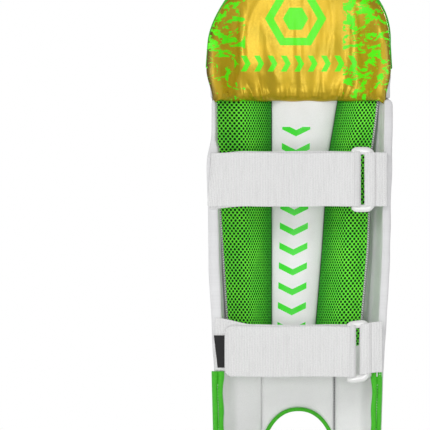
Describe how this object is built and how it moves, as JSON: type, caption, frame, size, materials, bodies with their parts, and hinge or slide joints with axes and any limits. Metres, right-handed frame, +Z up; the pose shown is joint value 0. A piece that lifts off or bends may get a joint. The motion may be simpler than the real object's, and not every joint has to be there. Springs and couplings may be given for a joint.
{
  "type": "cricket leg pad",
  "caption": "Padded cricket leg guard: rolled front, side wings, padded lining and two ring-fastened straps, with the knee section hinged above the shin.",
  "frame": {"origin": "on the floor, under the middle of the pad's box", "axes": "+Z up the shin, -Y the open side that the leg goes in, +Y faces the ball, +X to the right when the open side is looked at"},
  "size_m": [0.247, 0.1276, 0.6827],
  "materials": {
    "face_leather": "smooth white PU leather facing over firm foam",
    "wing_fabric": "pale coated fabric over soft foam",
    "lining_leather": "soft white PU leather lining",
    "gold_satin": "gold satin-faced fabric with a bright green print",
    "green_mesh": "open green spacer mesh over foam",
    "green_binding": "green woven binding tape",
    "strap_webbing": "ribbed white webbing",
    "ring_plastic": "moulded white plastic",
    "hook_tape": "black hook tape",
    "backing_board": "flexible fibre board",
    "cane": "split cane"
  },
  "bodies": {
    "shin_section": {"shin_backing": "backing_board", "instep_panel": "face_leather", "wing_left": "wing_fabric", "wing_right": "wing_fabric", "shin_lining": "lining_leather", "bolster_left": "green_mesh", "bolster_right": "green_mesh", "ankle_lining_left": "lining_leather", "ankle_lining_centre": "lining_leather", "ankle_lining_right": "lining_leather", "arch_piping": "green_binding", "ankle_binding_left": "green_binding", "ankle_binding_right": "green_binding", "knee_lining_lip": "gold_satin", "upper_strap_base": "strap_webbing", "lower_strap_base": "strap_webbing", "upper_ring_tab": "strap_webbing", "lower_ring_tab": "strap_webbing", "upper_hook_patch": "hook_tape", "lower_hook_patch": "hook_tape", "shin_roll_1": "face_leather", "shin_roll_2": "face_leather", "shin_roll_3": "face_leather", "shin_roll_4": "face_leather", "shin_roll_5": "face_leather", "lower_knee_pod_1": "face_leather", "lower_knee_pod_2": "face_leather", "lower_knee_pod_3": "face_leather", "lower_knee_pod_4": "face_leather", "lower_knee_pod_5": "face_leather", "cane_rod_1": "cane", "cane_rod_2": "cane", "cane_rod_3": "cane", "cane_rod_4": "cane", "cane_rod_5": "cane"},
    "knee_section": {"knee_backing": "backing_board", "knee_lining": "gold_satin", "knee_wing_left": "wing_fabric", "knee_wing_right": "wing_fabric", "top_binding": "green_binding", "upper_knee_pod_1": "face_leather", "upper_knee_pod_2": "face_leather", "upper_knee_pod_3": "face_leather", "upper_knee_pod_4": "face_leather", "upper_knee_pod_5": "face_leather", "top_roll_1": "face_leather", "top_roll_2": "face_leather", "top_roll_3": "face_leather", "top_roll_4": "face_leather", "top_roll_5": "face_leather"},
    "upper_ring": {"upper_ring": "ring_plastic"},
    "lower_ring": {"lower_ring": "ring_plastic"},
    "upper_strap_end": {"upper_strap_flap": "strap_webbing"},
    "lower_strap_end": {"lower_strap_flap": "strap_webbing"}
  },
  "joints": [
    {"name": "knee_flex", "type": "hinge", "parent": "shin_section", "child": "knee_section", "pos_m": [0, 0.0326, 0.516], "axis": [1, 0, 0], "range_deg": [0, 25], "stiffness_Nm_per_rad": 2},
    {"name": "upper_strap_peel", "type": "hinge", "parent": "shin_section", "child": "upper_strap_end", "pos_m": [0.0709, -0.063, 0.388], "axis": [0, 0, 1], "range_deg": [0, 120]},
    {"name": "upper_ring_swivel", "type": "hinge", "parent": "shin_section", "child": "upper_ring", "pos_m": [0.0942, -0.0574, 0.388], "axis": [0, 0, 1], "range_deg": [-2.5, 2.5]},
    {"name": "lower_strap_peel", "type": "hinge", "parent": "shin_section", "child": "lower_strap_end", "pos_m": [0.0647, -0.063, 0.164], "axis": [0, 0, 1], "range_deg": [0, 120]},
    {"name": "lower_ring_swivel", "type": "hinge", "parent": "shin_section", "child": "lower_ring", "pos_m": [0.088, -0.0574, 0.164], "axis": [0, 0, 1], "range_deg": [-2.5, 2.5]}
  ]
}
